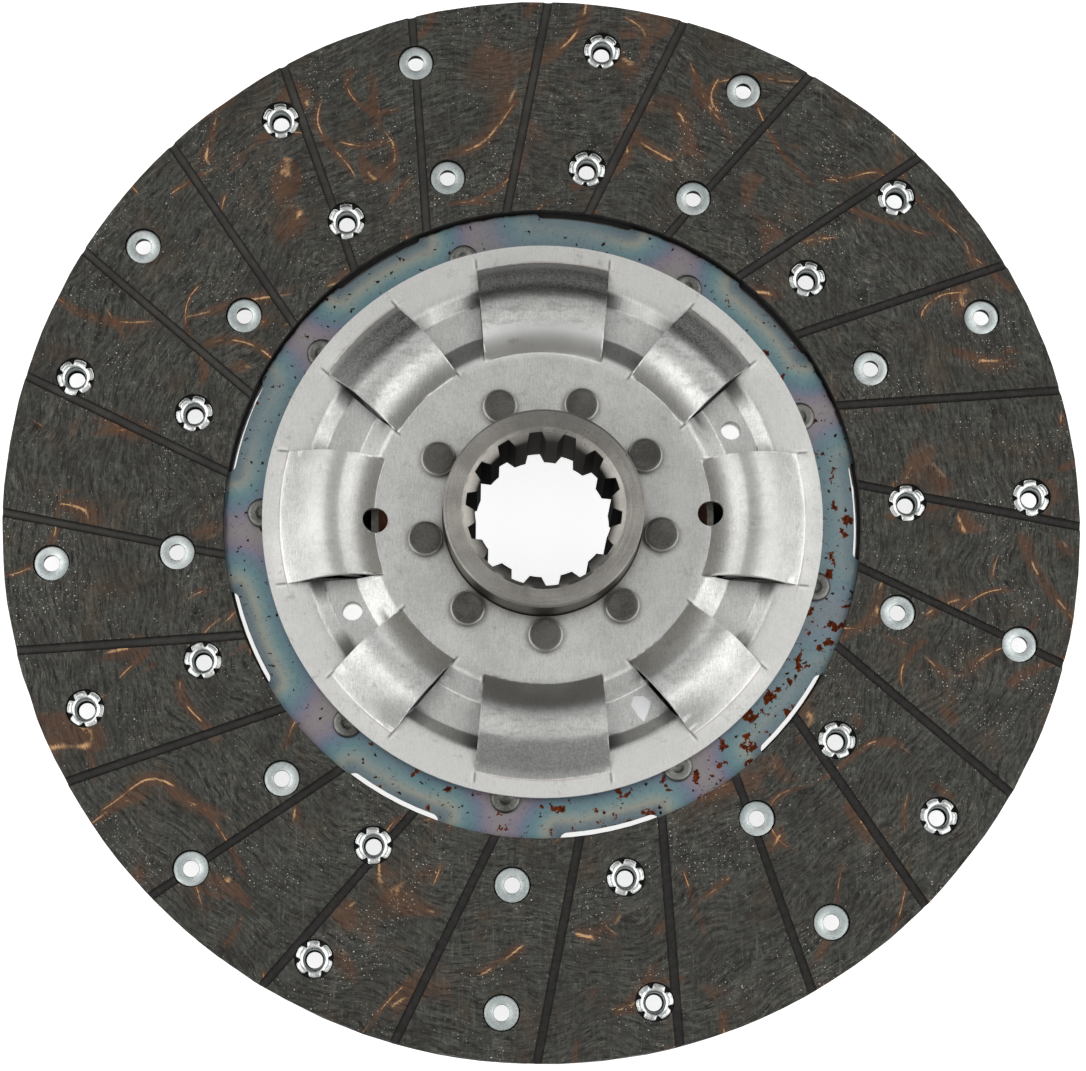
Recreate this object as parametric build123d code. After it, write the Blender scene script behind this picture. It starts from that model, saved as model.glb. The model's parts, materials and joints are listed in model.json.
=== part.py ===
from build123d import *
import math
import os

# A friction clutch disc with a sprung hub. The axis of the disc is Z, its gearbox side is +Z,
# and z = 0 is half way between the two linings. Sizes are in millimetres and degrees.
# Angles are counted from +X, anticlockwise as seen from the gearbox side.

# Hub, with its flange between the two guide plates
spline_count = 14
spline_major_r = 22.2
spline_depth = 2.65
spline_groove_angle = 18.9
spline_tip_width = 3.4
spline_flank_angle = 31.9
mouth_depth_r = 1.1  # how far the lead-in reaches past the spline grooves
mouth_slope = 30.0
hub_wall = 6.3
hub_front_length = 23.0
hub_rear_length = 12.5
hub_edge_chamfer = 0.6
flange_edge = 6.7  # from the hub rivets out to the flange's edge
flange_thickness = 12.0

# Hub rivets, solid, through both guide plates and the flange
hub_rivet_count = 9
hub_rivet_first_angle = 31.2
hub_rivet_head_d = 10.1
hub_rivet_head_height = 2.5
hub_rivet_shank_d = 7.6
hub_rivet_hole_gap = 0.1
hub_rivet_edge_r = 0.8
hub_rivet_hub_gap = 0.75

# Stops: lugs in the bore of the drive plate, which play in notches of the hub flange
stop_count = 3
stop_travel = 6.0
stop_lug_span = 10.0
stop_lug_reach = 2.9
stop_side_gap = 0.2  # degrees
stop_floor_gap = 0.4
drive_bore_gap = 0.5

# Friction pack between the drive plate and the guide plates
washer_bore_gap = 0.3
washer_width = 5.9
rear_friction_thickness = 2.5
pressure_washer_thickness = 0.8
disc_spring_sheet = 0.6

# Springs, which lie along the tangent in the windows of the drive plate
spring_outer_d = 22.4
spring_wire_d = 4.4
spring_rise = 7.0  # per turn of the wire
wire_sides = 8
large_spring_length = 34.0
medium_spring_length = 24.4
small_spring_length = 21.0
large_spring_angles = (0.0, 90.0, 180.0, 270.0)
medium_spring_angles = (135.1, 315.1)
small_spring_angles = (46.2, 226.2)
spring_washer_gap = 2.35
spring_side_gap = 0.3
late_spring_play = 2.0  # the medium and small springs come into play this much later

# Guide plates, pressed from sheet, with a hood over each spring
guide_sheet = 2.0
guide_hub_gap = 0.4
guide_rim_flat = 4.65  # the flat rim outside the hoods of the front plate
guide_rivet_gap = 0.8  # the rear plate ends this far inside the drive plate rivets
guide_bend_r = 1.5
trough_floor_width = 10.0
trough_inner_run = 6.0
trough_outer_run = 4.0
trough_gap = 0.4
rim_rise = 2.2
hood_gap = 1.9
hood_end_gap = 0.15
large_hood_taper = 5.0
medium_hood_taper = 3.9
small_hood_taper = 3.35

# Holes seen from the front: two in the front guide plate alone, and two through the whole disc
tooling_hole_d = 7.2
tooling_hole_inset = 12.75  # inside the circle of the springs
tooling_hole_angle = 1.4
through_hole_d = 5.8
through_hole_inset = 0.15
through_hole_angle = 26.0

# Drive plate, which carries the cushion plate and turns a little about the hub
drive_thickness = 3.2
drive_rim_width = 9.0  # how far its rim reaches under the cushion plate
drive_bend_r = 0.4
joggle_run = 2.6
joggle_gap = 0.3

# Drive plate rivets, in three groups of three
drive_rivet_guide_gap = 0.3  # their circle lies this far outside the front guide plate
drive_rivet_first_angle = 22.5
drive_rivet_step = 36.0
drive_rivet_groups = 3
drive_rivet_head_d = 8.6
drive_rivet_head_height = 1.8
drive_rivet_tail_d = 7.5
drive_rivet_tail_height = 1.5
drive_rivet_shank_d = 5.0
drive_rivet_hole_gap = 0.1
drive_rivet_dimple_d = 3.6
drive_rivet_dimple_depth = 0.7
drive_rivet_edge_r = 0.6

# Cushion plate, the spring steel sheet between the linings
cushion_thickness = 1.0
cushion_edge = 3.8  # from the drive plate rivets in to its bore
cushion_ring_width = 13.0
cushion_rim_inset = 1.5
window_cover = 5.2  # how far a window runs on under the linings
window_angle = 2.1
window_span = 18.0
window_corner_r = 2.2
paddle_slot_width = 2.5

# Friction linings
lining_outer_r = 155.0
lining_thickness = 3.6
front_window_sight = 1.8  # how much of a window the front lining leaves open
rear_window_sight = 1.3
groove_count = 24
groove_width = 2.7
groove_depth = 1.0
groove_rim_angle = -0.6
groove_lean = 7.2  # a groove ends this much further round at the bore than at the rim

# Lining rivets, tubular, half of them with the head in front and half turned over
rivet_groups = 9
inner_rivet_edge = 13.5  # from the bore of the front lining
outer_rivet_edge = 13.7  # from the rim
rivet_head_angle = 25.3
rivet_tail_angle = 2.9
rivet_head_d = 10.1
rivet_star_d = 11.0
rivet_shank_d = 6.0
rivet_bore_d = 4.7
rivet_flange = 0.9
rivet_recess = 1.3  # from the lining's face down to the rivet
rivet_hole_gap = 0.1
counterbore_gap = 0.75
petal_count = 6
petal_root_r = 3.4
petal_slit_width = 2.4

cut_past = 1.0  # how far a cutting shape runs past what it cuts

# Radii that follow from the fits, from the splines outwards
spline_minor_r = spline_major_r - spline_depth
mouth_r = spline_major_r + mouth_depth_r
hub_r = spline_major_r + hub_wall
guide_bore_r = hub_r + guide_hub_gap
hub_rivet_circle_r = hub_r + hub_rivet_head_d / 2 + hub_rivet_hub_gap
flange_r = hub_rivet_circle_r + flange_edge
drive_bore_r = flange_r + drive_bore_gap
notch_floor_r = drive_bore_r - stop_lug_reach - stop_floor_gap
washer_bore_r = flange_r + washer_bore_gap
washer_outer_r = washer_bore_r + washer_width
spring_outer_r = spring_outer_d / 2
coil_r = spring_outer_r - spring_wire_d / 2
spring_circle_r = washer_outer_r + spring_washer_gap + spring_outer_r
tooling_hole_circle_r = spring_circle_r - tooling_hole_inset
through_hole_circle_r = spring_circle_r - through_hole_inset
hood_inside_r = spring_outer_r + hood_gap
hood_outside_r = hood_inside_r + guide_sheet
guide_outer_r = spring_circle_r + hood_outside_r + guide_rim_flat
drive_rivet_circle_r = guide_outer_r + drive_rivet_guide_gap
rear_guide_outer_r = drive_rivet_circle_r - drive_rivet_tail_d / 2 - guide_rivet_gap
cushion_inner_r = drive_rivet_circle_r - cushion_edge
drive_outer_r = cushion_inner_r + drive_rim_width
window_inner_r = cushion_inner_r + cushion_ring_width
front_lining_inner_r = window_inner_r + front_window_sight
rear_lining_inner_r = window_inner_r + rear_window_sight
window_outer_r = front_lining_inner_r + window_cover
cushion_outer_r = lining_outer_r - cushion_rim_inset
rivet_circle_radii = (front_lining_inner_r + inner_rivet_edge, lining_outer_r - outer_rivet_edge)
counterbore_r = rivet_head_d / 2 + counterbore_gap

# Heights that follow from the stack
cushion_face = cushion_thickness / 2
lining_face = cushion_face + lining_thickness
counterbore_floor = lining_face - rivet_recess - rivet_flange
drive_face = drive_thickness / 2
drive_rim_middle = -(cushion_thickness + drive_thickness) / 2
drive_rim_back = drive_rim_middle - drive_face
flange_face = flange_thickness / 2
trough_floor_underside = drive_face + trough_gap
guide_rim_underside = trough_floor_underside + rim_rise
rear_friction_back = -drive_face - rear_friction_thickness
pressure_washer_back = rear_friction_back - pressure_washer_thickness

# Each spring: the name of its node, its length, its place round the disc and its hood's taper
springs = []
for size, length, angles, taper in (
    ("large", large_spring_length, large_spring_angles, large_hood_taper),
    ("medium", medium_spring_length, medium_spring_angles, medium_hood_taper),
    ("small", small_spring_length, small_spring_angles, small_hood_taper),
):
    for number, angle in enumerate(angles, start=1):
        springs.append((f"{size}_spring_{number}", length, angle, taper))


def turned(shape, angle):
    """The shape turned about the axis of the disc."""
    return Rot(0, 0, angle) * shape


def ring_of(shape, count, first_angle=0.0):
    """Copies of a shape, evenly spaced round the axis."""
    return [turned(shape, first_angle + 360 / count * place) for place in range(count)]


def upright(radius, low, high, place_r=0.0):
    """A round bar along Z, at a distance from the axis."""
    bar = Cylinder(radius, high - low, align=(Align.CENTER, Align.CENTER, Align.MIN))
    return Pos(place_r, 0, low) * bar


def washer(inner_r, outer_r, low, high):
    """A flat ring about the axis."""
    return upright(outer_r, low, high) - upright(inner_r, low, high)


def turned_section(section):
    """A section drawn in radius and height, turned right round the axis."""
    return revolve(Plane.XZ * section, axis=Axis.Z)


def sector(inner_r, outer_r, span):
    """A flat ring sector, centred on +X."""
    reach = outer_r / math.cos(math.radians(span / 2)) + cut_past
    side = reach * math.sin(math.radians(span / 2))
    along = reach * math.cos(math.radians(span / 2))
    wedge = make_face(Polyline((0, 0), (along, -side), (along, side), close=True))
    return (Circle(outer_r) - Circle(inner_r)) & wedge


def sheet_strip(points, inside_r, thickness):
    """The section of a bent sheet, whose middle follows the points."""
    return trace(FilletPolyline(*points, radius=inside_r + thickness / 2), thickness)


def rivet_places(angle):
    """Where one set of lining rivets stands, as angle and distance from the axis."""
    angles = [angle + 360 / rivet_groups * group for group in range(rivet_groups)]
    return [(place, r) for place in angles for r in rivet_circle_radii]


def drive_rivet_angles():
    """Where the drive plate rivets stand round the axis."""
    pitch = 360 / drive_rivet_groups
    middles = [drive_rivet_first_angle + pitch * group for group in range(drive_rivet_groups)]
    return [middle + step for middle in middles for step in (-drive_rivet_step, 0.0, drive_rivet_step)]


def turned_over(shape):
    """The shape turned over about the radial line half way between a rivet head and a rivet tail.

    Heads then lie where tails were, so both sides of the disc can use the same pieces.
    """
    line = (rivet_head_angle + rivet_tail_angle) / 2
    return turned(Rot(180, 0, 0) * turned(shape, -line), line)


def lining(inner_r):
    """A moulded ring of friction material, as it lies on the gearbox side."""
    ring = washer(inner_r, lining_outer_r, cushion_face, lining_face)
    cuts = []
    for angle, place_r in rivet_places(rivet_head_angle) + rivet_places(rivet_tail_angle):
        hole_r = rivet_shank_d / 2 + rivet_hole_gap
        cuts.append(turned(upright(hole_r, cushion_face - cut_past, lining_face, place_r), angle))
        recess = upright(counterbore_r, counterbore_floor, lining_face + cut_past, place_r)
        cuts.append(turned(recess, angle))
    cuts += ring_of(groove_cutter(), groove_count)
    return ring - cuts


def groove_cutter():
    """A round bar that cuts one straight groove across the lining, open at both ends."""
    rim_angle = math.radians(groove_rim_angle)
    bore_angle = math.radians(groove_rim_angle + groove_lean)
    rim_end = Vector(math.cos(rim_angle), math.sin(rim_angle)) * lining_outer_r
    bore_end = Vector(math.cos(bore_angle), math.sin(bore_angle)) * front_lining_inner_r
    run_out = (rim_end - bore_end).normalized() * (groove_width * 2)
    cutter_r = ((groove_width / 2) ** 2 + groove_depth**2) / (2 * groove_depth)
    height = Vector(0, 0, lining_face - groove_depth + cutter_r)
    path = Line(bore_end - run_out + height, rim_end + run_out + height)
    return sweep(Plane(origin=path @ 0, z_dir=path % 0) * Circle(cutter_r), path=path)


def cushion_plate():
    """The steel ring between the linings, with windows and with slots that part its paddles."""
    window = sector(window_inner_r, window_outer_r, window_span)
    window = fillet(window.vertices(), window_corner_r)
    slot_side = window_outer_r * math.sin(math.radians(window_span / 2)) - paddle_slot_width / 2
    slot_lean = math.degrees(math.asin(slot_side / window_outer_r))
    slot_start = (window_inner_r + window_outer_r) / 2
    slot_length = cushion_outer_r + cut_past - slot_start
    slot = Pos(slot_start + slot_length / 2, 0) * Rectangle(slot_length, paddle_slot_width)
    cuts = []
    for pattern in (window, turned(slot, slot_lean)):
        cuts += ring_of(pattern, rivet_groups, window_angle)
    for angle, place_r in rivet_places(rivet_head_angle) + rivet_places(rivet_tail_angle):
        cuts.append(turned(Pos(place_r, 0) * Circle(rivet_shank_d / 2 + rivet_hole_gap), angle))
    for angle in drive_rivet_angles():
        hole = Circle(drive_rivet_shank_d / 2 + drive_rivet_hole_gap)
        cuts.append(turned(Pos(drive_rivet_circle_r, 0) * hole, angle))
    outline = Circle(cushion_outer_r) - Circle(cushion_inner_r) - cuts
    return Pos(0, 0, -cushion_face) * extrude(outline, cushion_thickness)


def lining_rivet():
    """A tubular rivet with its flat head in front and its tail split and spread into a star behind."""
    shank = upright(rivet_shank_d / 2, -counterbore_floor, counterbore_floor)
    head = upright(rivet_head_d / 2, counterbore_floor, counterbore_floor + rivet_flange)
    star_r = rivet_star_d / 2
    slit = make_face(
        Polyline(
            (petal_root_r, 0),
            (star_r + cut_past, -petal_slit_width / 2),
            (star_r + cut_past, petal_slit_width / 2),
            close=True,
        )
    )
    star = Circle(star_r) - ring_of(slit, petal_count)
    tail = Pos(0, 0, -counterbore_floor - rivet_flange) * extrude(star, rivet_flange)
    reach = counterbore_floor + rivet_flange + cut_past
    return shank + head + tail - upright(rivet_bore_d / 2, -reach, reach)


def lining_rivets_front():
    """The rivets whose heads lie in the front lining."""
    rivet = lining_rivet()
    return [turned(Pos(r, 0, 0) * rivet, angle) for angle, r in rivet_places(rivet_head_angle)]


def drive_plate():
    """The thick sheet disc with the spring windows, its rim set back to carry the cushion plate."""
    bend_middle_r = drive_bend_r + drive_thickness / 2
    slope = math.atan2(-drive_rim_middle, joggle_run)
    bend_run = bend_middle_r * math.tan(slope / 2)
    joggle_end_r = cushion_inner_r - joggle_gap - bend_run
    joggle_start_r = joggle_end_r - joggle_run
    points = (
        (drive_bore_r, 0),
        (joggle_start_r, 0),
        (joggle_end_r, drive_rim_middle),
        (drive_outer_r, drive_rim_middle),
    )
    plate = turned_section(sheet_strip(points, drive_bend_r, drive_thickness))
    lug = sector(drive_bore_r - stop_lug_reach, drive_bore_r + stop_lug_reach, stop_lug_span)
    lug = Pos(0, 0, -drive_face) * extrude(lug, drive_thickness)
    plate += ring_of(lug, stop_count, stop_first_angle())
    cuts = []
    for _, length, angle, _ in springs:
        play = 0.0 if length == large_spring_length else late_spring_play
        width = 2 * (spring_outer_r + spring_side_gap)
        window = Box(width, length + 2 * play, 2 * drive_thickness)
        cuts.append(turned(Pos(spring_circle_r, 0, 0) * window, angle))
    for angle in drive_rivet_angles():
        hole_r = drive_rivet_shank_d / 2 + drive_rivet_hole_gap
        hole = upright(hole_r, drive_rim_back - cut_past, drive_face, drive_rivet_circle_r)
        cuts.append(turned(hole, angle))
    return plate - cuts - through_holes()


def stop_first_angle():
    """The first stop lies half way between two hub rivets."""
    return hub_rivet_first_angle + 180 / hub_rivet_count


def through_holes():
    """The two holes that go through both guide plates and the drive plate."""
    reach = hub_front_length
    hole = upright(through_hole_d / 2, -reach, reach, through_hole_circle_r)
    return ring_of(hole, 2, through_hole_angle)


def drive_rivets():
    """The solid rivets that hold the cushion plate on the drive plate."""
    head_top = cushion_face + drive_rivet_head_height
    shank = upright(drive_rivet_shank_d / 2, drive_rim_back, cushion_face)
    head = upright(drive_rivet_head_d / 2, cushion_face, head_top)
    head = fillet(head.edges().group_by(Axis.Z)[-1], drive_rivet_edge_r)
    tail = upright(drive_rivet_tail_d / 2, drive_rim_back - drive_rivet_tail_height, drive_rim_back)
    tail = fillet(tail.edges().group_by(Axis.Z)[0], drive_rivet_edge_r)
    dimple_r = drive_rivet_dimple_d / 2
    dimple = Cone(0, dimple_r, drive_rivet_dimple_depth, align=(Align.CENTER, Align.CENTER, Align.MAX))
    rivet = shank + head + tail - Pos(0, 0, head_top) * dimple
    return [turned(Pos(drive_rivet_circle_r, 0, 0) * rivet, angle) for angle in drive_rivet_angles()]


def coil_spring(length):
    """A spring of round wire along Y, with both ends ground flat."""
    wound = length + 2 * spring_wire_d
    path = Helix(spring_rise, wound, coil_r, center=(0, 0, -wound / 2))
    wire = RegularPolygon(spring_wire_d / 2, wire_sides)
    coil = sweep(Plane(origin=path @ 0, z_dir=path % 0) * wire, path=path, is_frenet=True)
    ground = coil & Box(2 * spring_outer_d, 2 * spring_outer_d, length)
    return Rot(90, 0, 0) * ground


def hood_outline(length, taper):
    """The part of a guide plate that one hood takes up, seen along Z: its sheared sides spread outwards."""
    foot = hood_outside_r + guide_sheet + 2 * guide_bend_r
    inner_x = spring_circle_r - foot
    outer_x = spring_circle_r + foot
    seat_x = spring_circle_r - spring_outer_r
    seat_half = length / 2 + hood_end_gap
    inner_half = seat_half + (inner_x - seat_x) * math.tan(math.radians(taper))
    outer_half = seat_half + (outer_x - seat_x) * math.tan(math.radians(taper))
    corners = (
        (inner_x, -inner_half),
        (outer_x, -outer_half),
        (outer_x, outer_half),
        (inner_x, inner_half),
    )
    return make_face(Polyline(*corners, close=True))


def hood_section(outer_r):
    """The section of a guide plate through a hood: an arch round the spring, on two bent feet."""
    centre = Pos(spring_circle_r, 0)
    above = corner_box(hood_outside_r, hood_outside_r)
    flat_width = spring_circle_r - guide_bore_r
    rim_width = outer_r - spring_circle_r
    inner_flat = Pos(guide_bore_r, flange_face) * corner_box(flat_width, guide_sheet)
    rim = Pos(spring_circle_r, guide_rim_underside) * corner_box(rim_width, guide_sheet)
    above_flat = Pos(spring_circle_r - hood_outside_r, flange_face) * above
    above_rim = Pos(spring_circle_r, guide_rim_underside) * above
    arch = centre * Circle(hood_outside_r) & (above_flat + above_rim)
    section = inner_flat + rim + arch - centre * Circle(hood_inside_r)
    feet = (
        (-1, flange_face + guide_sheet, hood_outside_r, guide_bend_r),
        (1, guide_rim_underside + guide_sheet, hood_outside_r, guide_bend_r),
        (-1, flange_face, hood_inside_r, guide_bend_r + guide_sheet),
        (1, guide_rim_underside, hood_inside_r, guide_bend_r + guide_sheet),
    )
    for side, height, arch_r, bend_r in feet:
        foot_r = spring_circle_r + side * math.sqrt(arch_r**2 - height**2)
        corner = section.vertices().sort_by_distance((foot_r, height, 0))[0]
        section = fillet(corner, bend_r)
    return section


def corner_box(width, height):
    """A rectangle with its lower left corner at the origin."""
    return Rectangle(width, height, align=(Align.MIN, Align.MIN))


def guide_plate(outer_r):
    """A guide plate as it lies in front of the hub flange."""
    half_sheet = guide_sheet / 2
    half_floor = trough_floor_width / 2
    points = (
        (guide_bore_r, flange_face + half_sheet),
        (spring_circle_r - half_floor - trough_inner_run, flange_face + half_sheet),
        (spring_circle_r - half_floor, trough_floor_underside + half_sheet),
        (spring_circle_r + half_floor, trough_floor_underside + half_sheet),
        (spring_circle_r + half_floor + trough_outer_run, guide_rim_underside + half_sheet),
        (outer_r, guide_rim_underside + half_sheet),
    )
    plate = turned_section(sheet_strip(points, guide_bend_r, guide_sheet))
    hood_ring = turned_section(hood_section(outer_r))
    prisms = []
    for _, length, angle, taper in springs:
        prisms.append(turned(extrude(hood_outline(length, taper), hub_front_length), angle))
    plate -= prisms
    for prism in prisms:
        plate += hood_ring & prism
    hole_r = hub_rivet_shank_d / 2 + hub_rivet_hole_gap
    hole = upright(hole_r, 0, hub_front_length, hub_rivet_circle_r)
    return plate - ring_of(hole, hub_rivet_count, hub_rivet_first_angle) - through_holes()


def front_guide_plate():
    """The guide plate on the gearbox side, which also has two tooling holes."""
    hole = upright(tooling_hole_d / 2, 0, hub_front_length, tooling_hole_circle_r)
    return guide_plate(guide_outer_r) - ring_of(hole, 2, tooling_hole_angle)


def rear_guide_plate():
    """The guide plate on the engine side, smaller so that it clears the drive plate rivets."""
    return mirror(guide_plate(rear_guide_outer_r), about=Plane.XY)


def hub():
    """The splined hub, turned with its flange from one piece."""
    chamfer = hub_edge_chamfer
    outline = Polyline(
        (0, -hub_rear_length),
        (hub_r - chamfer, -hub_rear_length),
        (hub_r, -hub_rear_length + chamfer),
        (hub_r, -flange_face),
        (flange_r, -flange_face),
        (flange_r, flange_face),
        (hub_r, flange_face),
        (hub_r, hub_front_length - chamfer),
        (hub_r - chamfer, hub_front_length),
        (0, hub_front_length),
        close=True,
    )
    body = turned_section(make_face(outline))
    bore = extrude(spline_outline(), hub_front_length + hub_rear_length + 2 * cut_past)
    mouth_depth = (mouth_r - spline_minor_r) * math.tan(math.radians(mouth_slope))
    mouth = Cone(spline_minor_r, mouth_r, mouth_depth, align=(Align.CENTER, Align.CENTER, Align.MAX))
    notch_span = stop_lug_span + 2 * (stop_travel + stop_side_gap)
    notch = sector(notch_floor_r, flange_r + cut_past, notch_span)
    notch = Pos(0, 0, -flange_face) * extrude(notch, flange_thickness)
    cuts = [
        Pos(0, 0, -hub_rear_length - cut_past) * bore,
        Pos(0, 0, hub_front_length) * mouth,
        Pos(0, 0, -hub_rear_length) * Rot(180, 0, 0) * mouth,
    ]
    cuts += ring_of(notch, stop_count, stop_first_angle())
    hole_r = hub_rivet_shank_d / 2 + hub_rivet_hole_gap
    hole = upright(hole_r, -flange_face - cut_past, flange_face + cut_past, hub_rivet_circle_r)
    cuts += ring_of(hole, hub_rivet_count, hub_rivet_first_angle)
    return body - cuts


def spline_outline():
    """The bore seen along Z: a round hole with straight-flanked teeth standing in from its wall."""
    flank = math.tan(math.radians(spline_flank_angle))
    deep = spline_depth + cut_past
    tip_half = spline_tip_width / 2
    root_half = tip_half + deep * flank
    tooth = make_face(
        Polyline(
            (spline_minor_r - cut_past, -tip_half + cut_past * flank),
            (spline_minor_r + deep, -root_half),
            (spline_minor_r + deep, root_half),
            (spline_minor_r - cut_past, tip_half - cut_past * flank),
            close=True,
        )
    )
    teeth_angle = spline_groove_angle + 180 / spline_count
    grooves = Circle(spline_major_r) - ring_of(tooth, spline_count, teeth_angle)
    return Circle(spline_minor_r) + grooves


def hub_rivets():
    """The solid rivets that clamp both guide plates to the hub flange."""
    seat = flange_face + guide_sheet
    rivet = upright(hub_rivet_shank_d / 2, -seat, seat)
    head = upright(hub_rivet_head_d / 2, seat, seat + hub_rivet_head_height)
    head = fillet(head.edges().group_by(Axis.Z)[-1], hub_rivet_edge_r)
    rivet = rivet + head + mirror(head, about=Plane.XY)
    return ring_of(Pos(hub_rivet_circle_r, 0, 0) * rivet, hub_rivet_count, hub_rivet_first_angle)


def disc_spring():
    """The conical spring washer that loads the friction pack: it bears at its bore and at its rim."""
    outline = Polyline(
        (washer_bore_r, pressure_washer_back),
        (washer_outer_r, -flange_face + disc_spring_sheet),
        (washer_outer_r, -flange_face),
        (washer_bore_r, pressure_washer_back - disc_spring_sheet),
        close=True,
    )
    return turned_section(make_face(outline))


front_rivets = lining_rivets_front()

nodes = {
    "hub": hub(),
    "hub_rivets": hub_rivets(),
    "front_guide_plate": front_guide_plate(),
    "rear_guide_plate": rear_guide_plate(),
    "front_friction_washer": washer(washer_bore_r, washer_outer_r, drive_face, flange_face),
    "rear_friction_washer": washer(washer_bore_r, washer_outer_r, rear_friction_back, -drive_face),
    "pressure_washer": washer(washer_bore_r, washer_outer_r, pressure_washer_back, rear_friction_back),
    "disc_spring": disc_spring(),
    "drive_plate": drive_plate(),
    "drive_plate_rivets": drive_rivets(),
    "cushion_plate": cushion_plate(),
    "front_lining": lining(front_lining_inner_r),
    "rear_lining": turned_over(lining(rear_lining_inner_r)),
    "lining_rivets_head_front": front_rivets,
    "lining_rivets_head_rear": [turned_over(rivet) for rivet in front_rivets],
}
for name, length, angle, _ in springs:
    nodes[name] = turned(Pos(spring_circle_r, 0, 0) * coil_spring(length), angle)

os.makedirs("parts", exist_ok=True)
for name, shape in nodes.items():
    solids = Compound(children=shape) if isinstance(shape, list) else shape
    export_step(solids, f"parts/{name}.step")
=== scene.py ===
import json
import math

import bpy
from mathutils import Matrix, Vector, noise

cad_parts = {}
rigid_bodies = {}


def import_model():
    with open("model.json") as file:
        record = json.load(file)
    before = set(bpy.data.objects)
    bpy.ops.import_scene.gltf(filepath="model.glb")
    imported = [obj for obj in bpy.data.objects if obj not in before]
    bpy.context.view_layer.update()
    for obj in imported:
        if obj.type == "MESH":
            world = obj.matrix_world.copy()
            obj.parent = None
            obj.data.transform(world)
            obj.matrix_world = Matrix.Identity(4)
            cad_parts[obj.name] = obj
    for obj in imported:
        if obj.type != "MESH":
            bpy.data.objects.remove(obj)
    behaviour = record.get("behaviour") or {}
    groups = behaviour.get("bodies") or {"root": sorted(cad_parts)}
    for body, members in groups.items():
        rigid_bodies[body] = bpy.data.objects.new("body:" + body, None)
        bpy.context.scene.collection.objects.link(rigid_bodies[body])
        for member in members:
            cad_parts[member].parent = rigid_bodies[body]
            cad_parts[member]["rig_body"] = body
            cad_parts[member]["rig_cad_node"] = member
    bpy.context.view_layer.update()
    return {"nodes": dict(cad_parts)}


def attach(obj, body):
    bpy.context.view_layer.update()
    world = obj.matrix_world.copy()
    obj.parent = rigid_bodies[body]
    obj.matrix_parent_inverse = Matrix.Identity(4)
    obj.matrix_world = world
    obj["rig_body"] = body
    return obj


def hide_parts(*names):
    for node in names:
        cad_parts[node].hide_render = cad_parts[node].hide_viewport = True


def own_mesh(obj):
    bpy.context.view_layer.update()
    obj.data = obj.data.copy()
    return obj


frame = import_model()

# A clutch disc seen from its gearbox side. Metres, the axis of the disc is Z, z = 0 lies between the linings.
# The first angle, step and span of the windows are in degrees.
MM = 0.001
LINING_FACE = 4.1 * MM
GROOVE_DEPTH = 1.0 * MM
PLATE_FACE = 6.2 * MM
CIRCLE_R = 60.75 * MM
WINDOW_INNER_R = 90.0 * MM
WINDOW_ANGLE = 2.1
WINDOW_STEP = 40.0
WINDOW_SPAN = 18.0


# Camera, in front of the disc and a little below its axis
camera_data = bpy.data.cameras.new("camera")
camera_data.sensor_fit = "HORIZONTAL"
camera_data.sensor_width = 36.0
camera_data.lens = 124.8
camera_data.shift_x = 0.0005
camera_data.shift_y = -0.0125
camera_data.clip_start = 0.05
camera_data.clip_end = 20.0
camera = bpy.data.objects.new("camera", camera_data)
bpy.context.scene.collection.objects.link(camera)
camera_place = Vector((-0.02045, -0.19073, 1.06933))
camera_back = camera_place.normalized()
camera_right = Vector((0, 1, 0)).cross(camera_back).normalized()
camera_up = camera_back.cross(camera_right)
turn = Matrix((camera_right, camera_up, camera_back)).transposed().to_4x4()
camera.matrix_world = Matrix.Translation(camera_place) @ turn
bpy.context.scene.camera = camera
bpy.context.scene.view_settings.view_transform = "Standard"


# Small helpers for modelling
def let_go():
    """Nothing stays selected."""
    bpy.ops.object.select_all(action="DESELECT")


def take(*pieces):
    """Only these pieces are selected, the last one active."""
    let_go()
    for piece in pieces:
        piece.select_set(True)
    bpy.context.view_layer.objects.active = pieces[-1]


def settle(piece):
    """The piece's place goes into its mesh."""
    take(piece)
    bpy.ops.object.transform_apply(location=True, rotation=True, scale=True)
    return piece


def named(name):
    """The piece just made, with its name."""
    piece = bpy.context.active_object
    piece.name = name
    piece.data.name = name
    return piece


def finish_edges(piece, angle=30.0):
    """Rounded faces look smooth and corners stay crisp."""
    take(piece)
    bpy.ops.object.shade_smooth_by_angle(angle=math.radians(angle))


def even_light(piece):
    """Large flat faces keep an even shade beside their rounded edges."""
    take(piece)
    bpy.ops.object.modifier_add(type="WEIGHTED_NORMAL")
    piece.modifiers[-1].keep_sharp = True
    bpy.ops.object.modifier_apply(modifier=piece.modifiers[-1].name)


def break_edges(piece, width):
    """Narrow round edges all over the piece."""
    take(piece)
    bpy.ops.object.modifier_add(type="BEVEL")
    bevel = piece.modifiers[-1]
    bevel.width = width
    bevel.segments = 2
    bevel.limit_method = "ANGLE"
    bevel.angle_limit = math.radians(70.0)
    bevel.harden_normals = False
    bpy.ops.object.modifier_apply(modifier=bevel.name)


def copy_of(piece, name):
    """A copy with a mesh of its own."""
    take(piece)
    bpy.ops.object.duplicate(linked=False)
    return named(name)


def pressed_copy(node, name):
    """A copy of a node's mesh, merged into closed shells."""
    piece = copy_of(frame["nodes"][node], name)
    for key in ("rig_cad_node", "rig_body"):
        if key in piece:
            del piece[key]
    take(piece)
    bpy.ops.object.parent_clear(type="CLEAR_KEEP_TRANSFORM")
    bpy.ops.object.mode_set(mode="EDIT")
    bpy.ops.mesh.select_all(action="SELECT")
    bpy.ops.mesh.remove_doubles(threshold=0.000002)
    bpy.ops.mesh.customdata_custom_splitnormals_clear()
    bpy.ops.object.mode_set(mode="OBJECT")
    return piece


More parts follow.
